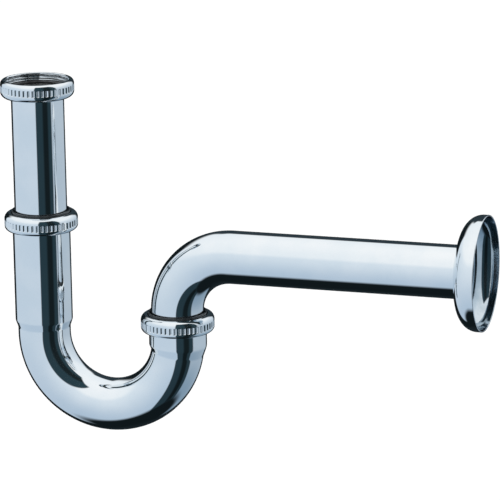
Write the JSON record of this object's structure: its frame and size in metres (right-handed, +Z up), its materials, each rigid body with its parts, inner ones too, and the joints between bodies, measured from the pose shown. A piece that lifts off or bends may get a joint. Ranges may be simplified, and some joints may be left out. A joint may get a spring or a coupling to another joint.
{
  "type": "basin p trap",
  "caption": "Round-tube P trap for a hand basin: flanged inlet pipe, U-shaped water seal with slip-nut joints, and an elbowed wall tube with a domed rosette.",
  "frame": {"origin": "on the inlet axis, at the inner end of the union nut's thread, where the end of the basin waste stops just above the flat gasket", "axes": "+Z up along the inlet tail pipe, +X along the wall tube towards the wall; the XZ plane is the symmetry plane"},
  "size_m": [0.2993, 0.069, 0.2165],
  "materials": {
    "chrome_tube": "mirror-polished bright chrome plating on brass tube",
    "chrome_nut": "mirror-polished bright chrome plating on turned brass",
    "chrome_rosette": "mirror-polished bright chrome plating on spun brass sheet",
    "bare_brass": "unplated turned brass, fine lathe marks",
    "black_nylon": "moulded black nylon, semi-matt",
    "black_rubber": "moulded black rubber, satin"
  },
  "bodies": {
    "tail": {"tail_pipe": "chrome_tube", "inlet_gasket": "black_rubber"},
    "union_nut": {"inlet_union_nut": "chrome_nut"},
    "inlet_seal": {"inlet_cone_seal": "black_rubber"},
    "trap": {"trap_bend": "chrome_tube", "inlet_thread_collar": "bare_brass", "outlet_thread_collar": "bare_brass"},
    "inlet_ring": {"inlet_slip_ring": "black_nylon"},
    "inlet_nut": {"inlet_slip_nut": "chrome_nut"},
    "outlet_seal": {"outlet_cone_seal": "black_rubber"},
    "outlet_tube": {"wall_tube": "chrome_tube"},
    "outlet_ring": {"outlet_slip_ring": "black_nylon"},
    "outlet_nut": {"outlet_slip_nut": "chrome_nut"},
    "rosette_grip": {"rosette_grip_ring": "black_rubber"},
    "rosette": {"wall_rosette": "chrome_rosette"}
  },
  "joints": [
    {"name": "union_nut_turn", "type": "hinge", "parent": "tail", "child": "union_nut", "pos_m": [0, 0, 0], "axis": [0, 0, 1], "continuous": true},
    {"name": "trap_height", "type": "slide", "parent": "tail", "child": "inlet_seal", "axis": [0, 0, 1], "range_m": [-0.02, 0.02]},
    {"name": "trap_swivel", "type": "hinge", "parent": "inlet_seal", "child": "trap", "pos_m": [0, 0, -0.0829], "axis": [0, 0, 1], "continuous": true},
    {"name": "inlet_nut_rise", "type": "slide", "parent": "trap", "child": "inlet_ring", "axis": [0, 0, 1], "range_m": [0, 0.0055]},
    {"name": "inlet_nut_turn", "type": "hinge", "parent": "inlet_ring", "child": "inlet_nut", "pos_m": [0, 0, -0.0828], "axis": [0, 0, 1], "range_deg": [0, 900]},
    {"name": "wall_tube_swivel", "type": "hinge", "parent": "trap", "child": "outlet_seal", "pos_m": [0.086, 0, -0.1409], "axis": [0, 0, 1], "range_deg": [-130, 130]},
    {"name": "wall_tube_lift", "type": "slide", "parent": "outlet_seal", "child": "outlet_tube", "axis": [0, 0, 1], "range_m": [0, 0.008]},
    {"name": "outlet_nut_rise", "type": "slide", "parent": "trap", "child": "outlet_ring", "axis": [0, 0, 1], "range_m": [0, 0.0055]},
    {"name": "outlet_nut_turn", "type": "hinge", "parent": "outlet_ring", "child": "outlet_nut", "pos_m": [0.086, 0, -0.1408], "axis": [0, 0, 1], "range_deg": [0, 900]},
    {"name": "rosette_slide", "type": "slide", "parent": "outlet_tube", "child": "rosette_grip", "axis": [1, 0, 0], "range_m": [-0.13, 0]},
    {"name": "rosette_spin", "type": "hinge", "parent": "rosette_grip", "child": "rosette", "pos_m": [0.262, 0, -0.0984], "axis": [1, 0, 0], "continuous": true}
  ],
  "couplings": [
    {"joint": "inlet_nut_turn", "follows": "inlet_nut_rise", "rad_per_m": 2856},
    {"joint": "outlet_nut_turn", "follows": "outlet_nut_rise", "rad_per_m": 2856}
  ]
}
